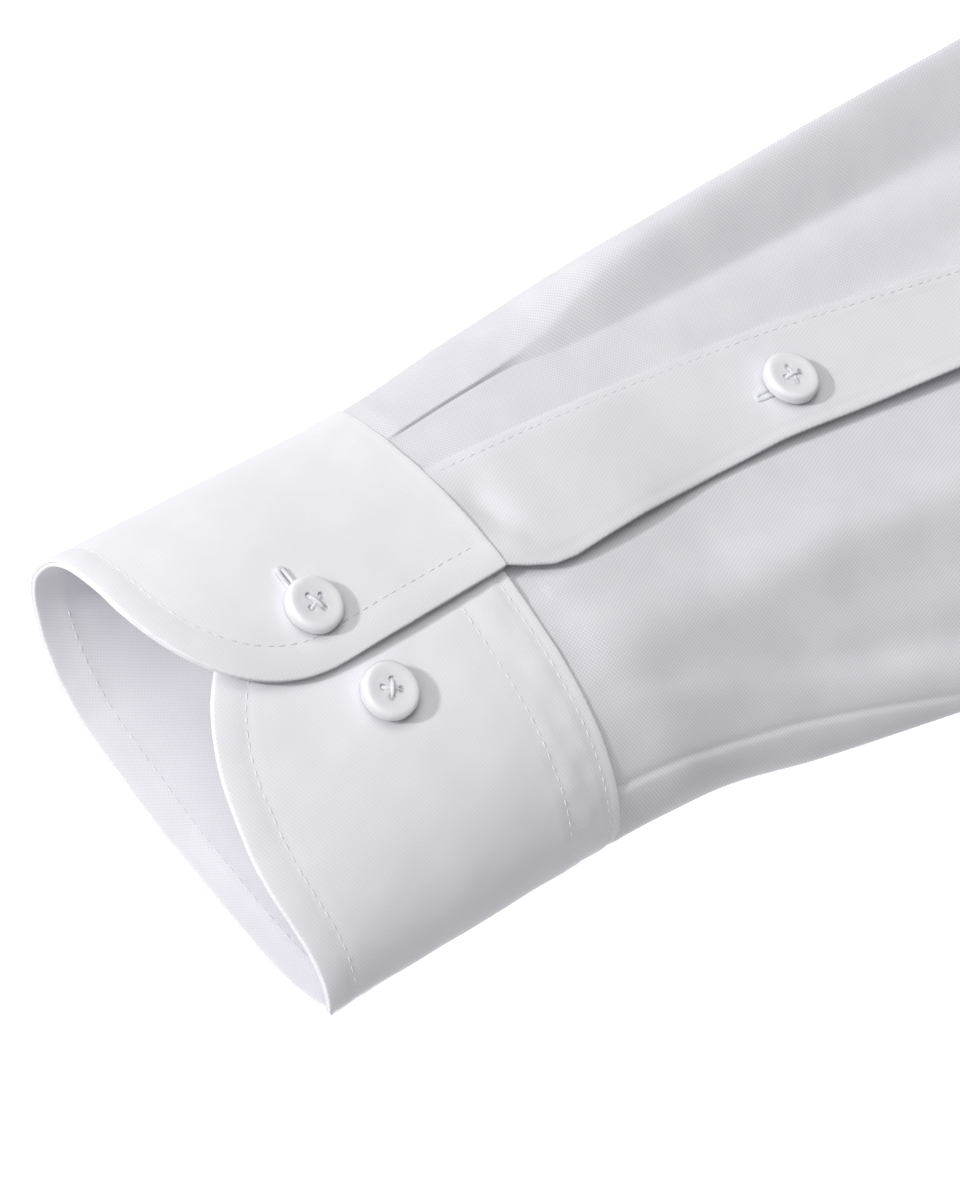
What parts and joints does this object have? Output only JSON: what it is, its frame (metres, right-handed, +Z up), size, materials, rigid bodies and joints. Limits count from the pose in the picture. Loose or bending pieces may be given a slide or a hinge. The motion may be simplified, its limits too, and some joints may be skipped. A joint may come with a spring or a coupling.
{
  "type": "long sleeve dress shirt",
  "caption": "Dress shirt laid flat and face up, with a button front, turned-down collar, back yoke and long sleeves that end in rounded, buttoned cuffs.",
  "frame": {"origin": "middle of the back panel's underside, where it rests on the table", "axes": "+X towards the wearer's left, +Y from the hem to the collar, +Z up out of the shirt's front"},
  "size_m": [1.4458, 0.8052, 0.0496],
  "materials": {
    "white_cotton": "plain white cotton shirting with a fine twill and a faint cool tone",
    "pearl_white": "semi-gloss white shirt button, slightly translucent"
  },
  "bodies": {
    "root": {"back": "white_cotton", "front_left": "white_cotton", "front_right": "white_cotton", "front_placket": "white_cotton", "yoke": "white_cotton", "sleeve_left": "white_cotton", "sleeve_right": "white_cotton", "gauntlet_left": "white_cotton", "gauntlet_right": "white_cotton", "cuff_left": "white_cotton", "cuff_right": "white_cotton", "collar_stand": "white_cotton", "collar_leaf": "white_cotton", "cuff_button_end_left": "pearl_white", "cuff_button_end_right": "pearl_white", "cuff_button_second_left": "pearl_white", "cuff_button_second_right": "pearl_white", "gauntlet_button_left": "pearl_white", "gauntlet_button_right": "pearl_white", "front_button_1": "pearl_white", "front_button_2": "pearl_white", "front_button_3": "pearl_white", "front_button_4": "pearl_white", "front_button_5": "pearl_white", "front_button_6": "pearl_white", "collar_button": "pearl_white"}
  },
  "joints": []
}
